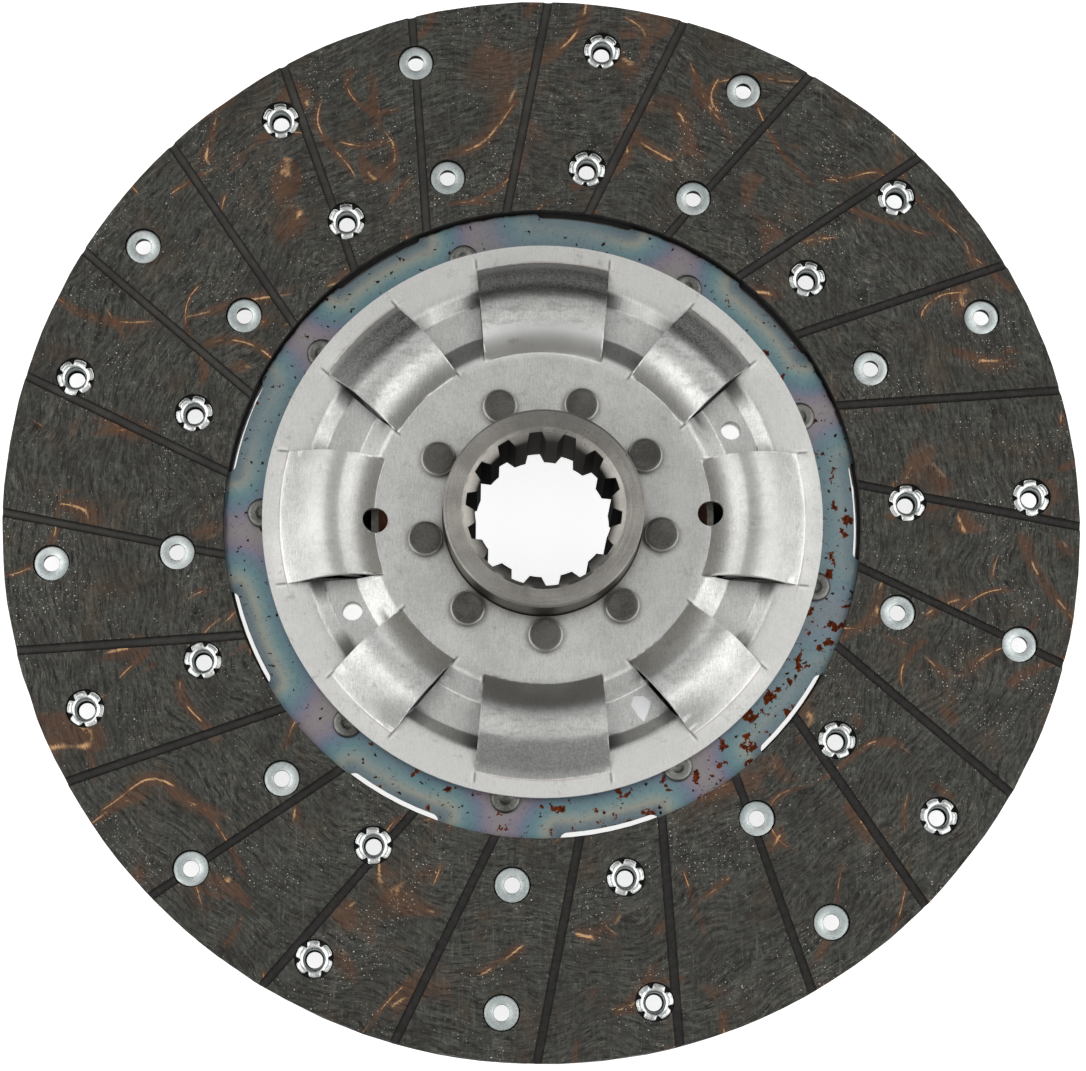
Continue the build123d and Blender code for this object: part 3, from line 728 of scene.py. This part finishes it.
def tempered(tree, shade, roughness, height):
    """Temper colours round the windows, with rust spots, small pits and painted shade along the linings' edge
    on the upper half.
    """
    source, way, reach = polar(tree)
    shade = blend_colours(tree, 0.8, shade, temper_bands(tree, source, way, reach))
    freckles = spread(tree, cloud(tree, source, 1100.0, 3.0, 0.7), 0.54, 0.68, 0.0, 0.35)
    shade = tinted(tree, shade, freckles, 84, 88, 86)
    lower_right = facing(tree, way, 0.74, -0.67, -0.4, 1.0)
    blot = cloud(tree, source, 210.0, 5.0, 0.62)
    edge = spread(tree, lower_right, 0.0, 1.0, 0.70, 0.565)
    rust = spread(tree, sums(tree, "SUBTRACT", blot, edge), 0.0, 0.012)
    patchy = spread(tree, cloud(tree, source, 1500.0, 3.0, 0.7), 0.4, 0.62)
    rust_tone = blend_colours(tree, patchy, colour(84, 40, 26), colour(146, 74, 40))
    shade = blend_colours(tree, rust, shade, rust_tone)
    pit = spread(tree, cloud(tree, source, 600.0, 2.0, 0.5), 0.67, 0.695)
    shade = tinted(tree, shade, pit, 66, 42, 36)
    # painted shade below the linings' edge, on the upper half
    lining_edge_shade = spread(tree, swayed(tree, reach, blot, 1.6 * MM), 90.7 * MM, 91.3 * MM)
    lining_edge_shade = times(tree, lining_edge_shade, facing(tree, way, *UP, -0.3, 0.4))
    shade = tinted(tree, shade, lining_edge_shade, 34, 32, 29)
    spoiled = sums(tree, "MAXIMUM", sums(tree, "MAXIMUM", rust, pit), lining_edge_shade)
    return shade, sums(tree, "MAXIMUM", roughness, times(tree, spoiled, 0.85)), height


lining = lining_finish()
guide_steel = steel_finish("guide_steel", (222, 222, 219), (190, 190, 187), 0.38, after=guide_marks_and_shade)
hub_steel = steel_finish(
    "hub_steel", (156, 153, 147), (132, 129, 124), 0.36,
    grain=0.1, depth=0.14 * MM, edge_tint=0.45, after=turned_marks_and_shade,
)
dark_rivet_steel = steel_finish(
    "dark_rivet_steel", (108, 106, 102), (78, 77, 74), 0.42, grain=0.1, after=rivet_rim_highlight,
)
drive_steel = steel_finish("drive_steel", (176, 172, 166), (128, 124, 118), 0.5)
drive_rivet_steel = steel_finish(
    "drive_rivet_steel", (134, 134, 130), (88, 87, 82), 0.45, grain=0.1, pits=0.7,
)
washer_steel = steel_finish("washer_steel", (150, 148, 144), (110, 108, 104), 0.4)
friction_washer = steel_finish("friction_washer", (66, 44, 30), (40, 28, 22), 0.6, grain=0.1)
tempered_steel = steel_finish(
    "tempered_steel", (150, 160, 162), (110, 126, 134), 0.42, grain=0.2, after=tempered,
)
zinc_plate = steel_finish(
    "zinc_plate", (220, 227, 225), (180, 190, 189), 0.34,
    grain=0.1, pits=0.6, edge_tint=0.4, after=petal_highlights_and_bore_shade,
)
spring_steel = steel_finish("spring_steel", (88, 90, 94), (52, 54, 58), 0.36, grain=0.1)


def painted(piece, material):
    """The piece in its finish."""
    piece.data.materials.clear()
    piece.data.materials.append(material)


def between(where, first, last):
    """The height of a smooth curve between two points, each given by its distance, height and slope."""
    first_r, first_z, first_slope = first
    last_r, last_z, last_slope = last
    run = last_r - first_r
    t = (where - first_r) / run
    ends = (2 * t**3 - 3 * t**2 + 1) * first_z + (3 * t**2 - 2 * t**3) * last_z
    return ends + run * ((t**3 - 2 * t**2 + t) * first_slope + (t**3 - t**2) * last_slope)


# Section of a hood, in millimetres: radius, height and slope at each end of its two slopes,
# the reach of its hollow side round the springs' circle, and the inner radius of the trough
INNER_FOOT = (48.3, 8.0, 0.95)
INNER_TOP = (58.0, 14.85, 0.2)
OUTER_TOP = (63.5, 14.87, -0.2)
OUTER_FOOT = (75.6, 6.2, -0.7)
HOLLOW_R = 14.4
TROUGH_INNER_R = 47.0


def ease_hoods(piece):
    """The hoods run down to their feet in gentle slopes, and their hollow side stays as it is."""
    circle = CIRCLE_R / MM
    for point in piece.data.vertices:
        reach = math.hypot(point.co.x, point.co.y) / MM
        height = abs(point.co.z) / MM
        lowest = 7.9 if reach < circle else 5.5
        if math.hypot(reach - circle, height) < HOLLOW_R or height < lowest:
            continue
        if TROUGH_INNER_R < reach <= INNER_FOOT[0]:
            height = INNER_FOOT[1]
        elif INNER_FOOT[0] < reach < INNER_TOP[0]:
            height = between(reach, INNER_FOOT, INNER_TOP)
        elif OUTER_TOP[0] < reach < OUTER_FOOT[0]:
            height = between(reach, OUTER_TOP, OUTER_FOOT)
        point.co.z = math.copysign(height * MM, point.co.z)


# Places of the lining rivets, in degrees, their two circles and their counterbores, in millimetres
HEAD_PLACES = ring_places(25.3)
TAIL_PLACES = ring_places(2.9)
RIVET_CIRCLES = (105.3, 141.3)
COUNTERBORE_R = 5.8
HEAD_SEAT_R = 5.3
TAIL_SEAT_R = 5.6
LINING_EDGE_R = 154.9
REAR_BORE_R = 91.5


def wear_lining(piece, heads, tails):
    """The counterbores lie close round the rivets, and the outer edge is a little ragged."""
    seats = []
    for places, close_r in ((heads, HEAD_SEAT_R), (tails, TAIL_SEAT_R)):
        for angle in places:
            way = math.radians(angle)
            for circle in RIVET_CIRCLES:
                x, y = circle * MM * math.cos(way), circle * MM * math.sin(way)
                seats.append((x, y, close_r / COUNTERBORE_R))
    for point in piece.data.vertices:
        reach = math.hypot(point.co.x, point.co.y)
        if reach > LINING_EDGE_R * MM:
            chipped = 0.35 * MM * max(0.0, noise.noise(point.co * 260.0) + 0.25)
            point.co.x *= 1 - chipped / reach
            point.co.y *= 1 - chipped / reach
            continue
        for x, y, share in seats:
            if abs(math.hypot(point.co.x - x, point.co.y - y) - COUNTERBORE_R * MM) < 0.02 * MM:
                point.co.x = x + (point.co.x - x) * share
                point.co.y = y + (point.co.y - y) * share
                break


def draw_in_bore(piece):
    """The rear lining's bore lies a little low, so that it shows dark in the upper windows."""
    for point in piece.data.vertices:
        reach = math.hypot(point.co.x, point.co.y)
        if reach < REAR_BORE_R * MM:
            bore = (90.95 - 0.35 * point.co.y / reach) * MM
            point.co.x *= bore / reach
            point.co.y *= bore / reach


def wear_front_lining(piece):
    wear_lining(piece, HEAD_PLACES, TAIL_PLACES)


def wear_rear_lining(piece):
    draw_in_bore(piece)
    wear_lining(piece, TAIL_PLACES, HEAD_PLACES)


# Pressed and turned pieces, whose shape follows their nodes
def dressed(node, name, body, material, edge=0.0, angle=30.0, shaped=None):
    """A piece that stands for a node, with its edges broken and its small shapes worked in."""
    piece = pressed_copy(node, name)
    if shaped:
        shaped(piece)
    if edge:
        break_edges(piece, edge)
    finish_edges(piece, angle)
    even_light(piece)
    painted(piece, material)
    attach(piece, body)
    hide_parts(node)


dressed(
    "front_lining", "moulded_lining_front", "friction_disc",
    lining, shaped=wear_front_lining,
)
dressed(
    "rear_lining", "moulded_lining_rear", "friction_disc",
    lining, shaped=wear_rear_lining,
)
dressed("cushion_plate", "blued_cushion_plate", "friction_disc", tempered_steel)
dressed("drive_plate", "joggled_drive_plate", "friction_disc", drive_steel)
for side in ("front", "rear"):
    dressed(
        f"{side}_guide_plate", f"hooded_guide_plate_{side}", "hub_unit",
        guide_steel, edge=0.2 * MM, angle=48.0, shaped=ease_hoods,
    )
dressed("hub", "splined_hub", "hub_unit", hub_steel, edge=0.25 * MM)
for side in ("front", "rear"):
    dressed(
        f"{side}_friction_washer", f"brown_washer_{side}", "hub_unit", friction_washer,
    )
dressed("pressure_washer", "thin_pressure_washer", "hub_unit", washer_steel)
dressed("disc_spring", "conical_disc_spring", "hub_unit", spring_steel)


# Rivets are drawn out of a ring, from one ring of points to the next
def draw_out(name, rings, points):
    """An open shell drawn through rings, each given by its radius and height in millimetres."""
    let_go()
    first_r, first_z = rings[0]
    radius, start = first_r * MM, (0, 0, first_z * MM)
    bpy.ops.mesh.primitive_circle_add(vertices=points, radius=radius, fill_type="NOTHING", location=start)
    piece = settle(named(name))
    take(piece)
    bpy.ops.object.mode_set(mode="EDIT")
    bpy.ops.mesh.select_all(action="SELECT")
    for (last_r, last_z), (ring_r, ring_z) in zip(rings, rings[1:]):
        bpy.ops.mesh.extrude_edges_move(TRANSFORM_OT_translate={"value": (0, 0, (ring_z - last_z) * MM)})
        wider = ring_r / last_r
        bpy.ops.transform.resize(value=(wider, wider, 1), center_override=(0, 0, ring_z * MM))
    bpy.ops.object.mode_set(mode="OBJECT")
    return piece


def close_edges(piece, close):
    """The open edges are closed, by flat faces over both ends or by a wall along the bore."""
    take(piece)
    bpy.ops.object.mode_set(mode="EDIT")
    bpy.ops.mesh.select_mode(type="EDGE")
    bpy.ops.mesh.select_all(action="DESELECT")
    bpy.ops.mesh.select_non_manifold()
    close()
    bpy.ops.mesh.select_all(action="SELECT")
    bpy.ops.mesh.normals_make_consistent(inside=False)
    bpy.ops.object.mode_set(mode="OBJECT")


def note(piece, name, measure):
    """A value for every point of the piece, which its finish reads."""
    values = piece.data.attributes.new(name, "FLOAT", "POINT")
    for point, value in zip(piece.data.vertices, values.data):
        value.value = measure(point.co)


def rivet_group(model, circles, name, material, body, node):
    """Copies of one rivet at their places, as one piece that stands for its node."""
    copies = []
    for radius, angles in circles:
        copies += set_round(model, radius * MM, angles, f"{name}_{round(radius)}")
    group = join(copies, name)
    finish_edges(group, 38.0)
    painted(group, material)
    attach(group, body)
    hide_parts(node)


# Lining rivets: a tube with a flat rolled head at one end and six curled petals at the other.
# Radii and heights are in millimetres, and a slit's reach to either side is in degrees.
PETALS = 6
SLIT_ROOT_R = 3.8
SLIT_REACH = 11.0
NEAR_BORE_R = 3.5
TAIL_CUP = -0.8
HEAD_LIP = 2.65
STAR_TAIL = (
    (2.75, -0.9), (2.82, -1.5), (3.0, -2.05), (3.3, -2.38), (3.75, -2.62), (4.5, -2.62), (4.9, -2.46),
    (5.04, -2.46), (5.18, -2.66), (5.36, -2.6), (5.5, -2.3), (5.4, -2.08), (4.8, -1.94), (3.4, -1.9),
    (3.0, -1.8),
)
ROLLED_HEAD = (
    (3.0, 1.8), (3.1, 1.9), (4.8, 1.9), (5.02, 2.05), (5.02, 2.58), (4.9, 2.76), (4.7, 2.8), (2.5, 2.8),
    (2.34, 2.74), (2.3, 2.55), (2.5, 2.2), (2.75, 1.9),
)


def slit_petals(piece):
    """The star tail is slit between its petals."""
    for point in piece.data.vertices:
        reach = math.hypot(point.co.x, point.co.y)
        if point.co.z < -1.85 * MM and reach > SLIT_ROOT_R * MM:
            angle = math.degrees(math.atan2(point.co.y, point.co.x))
            off = abs((angle + 180 / PETALS) % (360 / PETALS) - 180 / PETALS)
            pull = max(0.0, 1 - (off / SLIT_REACH) ** 1.5)
            allowed = reach + (SLIT_ROOT_R * MM - reach) * pull
            point.co.x *= allowed / reach
            point.co.y *= allowed / reach


def bore_shade_share(place):
    """Painted shade: 1 in the bore, 0 on the outside, with a gradual change in the cup of the tail."""
    reach, height = math.hypot(place.x, place.y) / MM, place.z / MM
    if reach > NEAR_BORE_R:
        return 0.0
    if height > HEAD_LIP:
        return 0.9 if reach < 2.45 else 0.0
    if height < TAIL_CUP:
        return max(0.0, 0.2 * (height + 2.5))
    return 1.0 if reach < 2.95 else 0.0


def petal_share(place):
    """1 on the curled petals, 0 elsewhere."""
    return 1.0 if place.z < -2.2 * MM else 0.0


lining_rivet = draw_out("lining_rivet_model", STAR_TAIL + ROLLED_HEAD, points=72)
close_edges(lining_rivet, bpy.ops.mesh.bridge_edge_loops)
slit_petals(lining_rivet)
note(lining_rivet, "bore_shade", bore_shade_share)
note(lining_rivet, "on_petal", petal_share)
turned_rivet = copy_of(lining_rivet, "turned_rivet_model")
take(turned_rivet)
bpy.ops.transform.rotate(value=math.pi, orient_axis="X", center_override=(0, 0, 0))
settle(turned_rivet)

# The rivets with their head in front have painted shade right down their bore
for point, share in zip(lining_rivet.data.vertices, lining_rivet.data.attributes["bore_shade"].data):
    if point.co.z < TAIL_CUP * MM and math.hypot(point.co.x, point.co.y) < NEAR_BORE_R * MM:
        share.value = 1.0

for model, places, name, node in (
    (lining_rivet, HEAD_PLACES, "flat_lining_rivets", "lining_rivets_head_front"),
    (turned_rivet, TAIL_PLACES, "star_lining_rivets", "lining_rivets_head_rear"),
):
    circles = [(circle, places) for circle in RIVET_CIRCLES]
    rivet_group(model, circles, name, zinc_plate, "friction_disc", node)

# Hub rivets, solid, with flat heads and rounded edges on both sides
HUB_RIVET_HEAD = (
    (3.8, 8.0), (4.9, 8.0), (5.02, 8.3), (5.05, 9.6), (4.97, 10.05), (4.72, 10.36), (4.2, 10.5), (3.4, 10.44),
)
HUB_RIVET_CIRCLE = (34.3, ring_places(31.2))


def from_axis(place):
    """Millimetres from the axis of the rivet."""
    return math.hypot(place.x, place.y) / MM


rear_head = tuple((radius, -height) for radius, height in reversed(HUB_RIVET_HEAD))
hub_rivet = draw_out("hub_rivet_model", rear_head + HUB_RIVET_HEAD, points=48)
close_edges(hub_rivet, bpy.ops.mesh.edge_face_add)
note(hub_rivet, "from_axis", from_axis)
rivet_group(
    hub_rivet, [HUB_RIVET_CIRCLE], "flat_hub_rivets",
    dark_rivet_steel, "hub_unit", "hub_rivets",
)

# Drive plate rivets, solid, with a dimple in the head, in three groups of three
DRIVE_RIVET = (
    (3.1, -5.2), (3.6, -5.05), (3.75, -4.7), (3.72, -3.7), (2.5, -3.7), (2.5, 0.5), (4.2, 0.5), (4.3, 0.7),
    (4.26, 1.5), (4.05, 2.0), (3.6, 2.26), (3.1, 2.3), (2.0, 2.22), (1.7, 2.0), (1.1, 1.72), (0.5, 1.66),
)
DRIVE_RIVET_PLACES = [middle + step for middle in ring_places(22.5, 3) for step in (-36, 0, 36)]
DRIVE_RIVET_CIRCLE = (80.8, DRIVE_RIVET_PLACES)
drive_rivet = draw_out("drive_rivet_model", DRIVE_RIVET, points=36)
close_edges(drive_rivet, bpy.ops.mesh.edge_face_add)
rivet_group(
    drive_rivet, [DRIVE_RIVET_CIRCLE], "dimpled_drive_rivets",
    drive_rivet_steel, "friction_disc", "drive_plate_rivets",
)
for model in (lining_rivet, turned_rivet, hub_rivet, drive_rivet):
    remove(model)

# A dab of white paint in the trough of the front guide plate
DAB_HALF_WIDTH, DAB_HALF_LENGTH, DAB_HALF_DEPTH = 2.7 * MM, 3.6 * MM, 0.16 * MM
DAB_PLACE = (28.1 * MM, -54.3 * MM, 4.02 * MM)
DAB_TURN = 12


def white_paint():
    """White paint, a little patchy."""
    material, tree, shader = new_finish("white_paint", Metallic=0.0)
    patchy = cloud(tree, place_of(tree), 900.0, 4.0, 0.6)
    tone = blend_colours(tree, spread(tree, patchy, 0.4, 0.65), colour(248, 250, 252), colour(255, 255, 255))
    tree.links.new(tone, shader.inputs["Base Color"])
    tree.links.new(spread(tree, patchy, 0.3, 0.7, 0.6, 0.4), shader.inputs["Roughness"])
    relief(tree, shader, patchy, 0.1 * MM, 0.6)
    return material


bpy.ops.mesh.primitive_uv_sphere_add(segments=24, ring_count=12, radius=1.0, location=(0, 0, 0))
dab = named("white_paint_dab")
for point in dab.data.vertices:
    x, y, z = point.co
    narrow = 0.62 + 0.38 * min(1.0, max(0.0, (y + 0.9) / 1.1))
    ripple = 1 + 0.09 * math.sin(3 * math.atan2(y, x) + 0.7) + 0.05 * math.sin(7 * math.atan2(y, x))
    point.co.x = x * narrow * ripple * DAB_HALF_WIDTH
    point.co.y = y * ripple * DAB_HALF_LENGTH
    point.co.z = z * DAB_HALF_DEPTH
dab.rotation_euler.z = math.radians(DAB_TURN)
settle(dab)
bpy.ops.transform.translate(value=DAB_PLACE)
settle(dab)
finish_edges(dab, 60.0)
dab.data.materials.append(white_paint())
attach(dab, "hub_unit")


# Coil springs, wound of round wire and ground flat at both ends
WIRE_R = 2.2 * MM
COIL_R = 9.0 * MM
RISE = 7.0 * MM
WIRE_POINTS = 16
TURN_STEPS = 32


def wound_spring(length, angle, name):
    """One spring along the tangent at its place."""
    let_go()
    bpy.ops.mesh.primitive_circle_add(
        vertices=WIRE_POINTS, radius=WIRE_R, fill_type="NOTHING", rotation=(math.pi / 2, 0, 0),
    )
    piece = named(name)
    settle(piece)
    turns = math.ceil((length + 4 * WIRE_R) / RISE) + 1
    take(piece)
    bpy.ops.transform.translate(value=(COIL_R, 0, -turns * RISE / 2))
    settle(piece)
    bpy.ops.object.modifier_add(type="SCREW")
    screw = piece.modifiers[-1]
    screw.axis = "Z"
    screw.angle = 2 * math.pi
    screw.iterations = turns
    screw.screw_offset = RISE
    screw.steps = TURN_STEPS
    screw.render_steps = TURN_STEPS
    screw.use_normal_calculate = True
    bpy.ops.object.modifier_apply(modifier=screw.name)
    for side in (-1, 1):
        take(piece)
        bpy.ops.object.mode_set(mode="EDIT")
        bpy.ops.mesh.select_all(action="SELECT")
        end = (0, 0, side * length / 2)
        bpy.ops.mesh.bisect(plane_co=end, plane_no=(0, 0, side), clear_outer=True, use_fill=True)
        bpy.ops.object.mode_set(mode="OBJECT")
    take(piece)
    bpy.ops.object.mode_set(mode="EDIT")
    bpy.ops.mesh.select_all(action="SELECT")
    bpy.ops.mesh.normals_make_consistent(inside=False)
    bpy.ops.object.mode_set(mode="OBJECT")
    bpy.ops.transform.rotate(value=-math.pi / 2, orient_axis="X", center_override=(0, 0, 0))
    bpy.ops.transform.translate(value=(CIRCLE_R, 0, 0))
    settle(piece)
    piece.rotation_euler.z = math.radians(angle)
    settle(piece)
    finish_edges(piece, 40.0)
    return piece


for size, length, angles, keep in (
    ("large", 34.0, (0.0, 90.0, 180.0, 270.0), 0.63),
    ("medium", 24.4, (135.1, 315.1), 0.65),
    ("small", 21.0, (46.2, 226.2), 0.63),
):
    for number, angle in enumerate(angles, start=1):
        spring = wound_spring(length * MM, angle, f"{size}_coil_{number}")
        painted(spring, spring_steel)
        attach(spring, "hub_unit")
        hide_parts(f"{size}_spring_{number}")
        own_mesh(spring)

let_go()
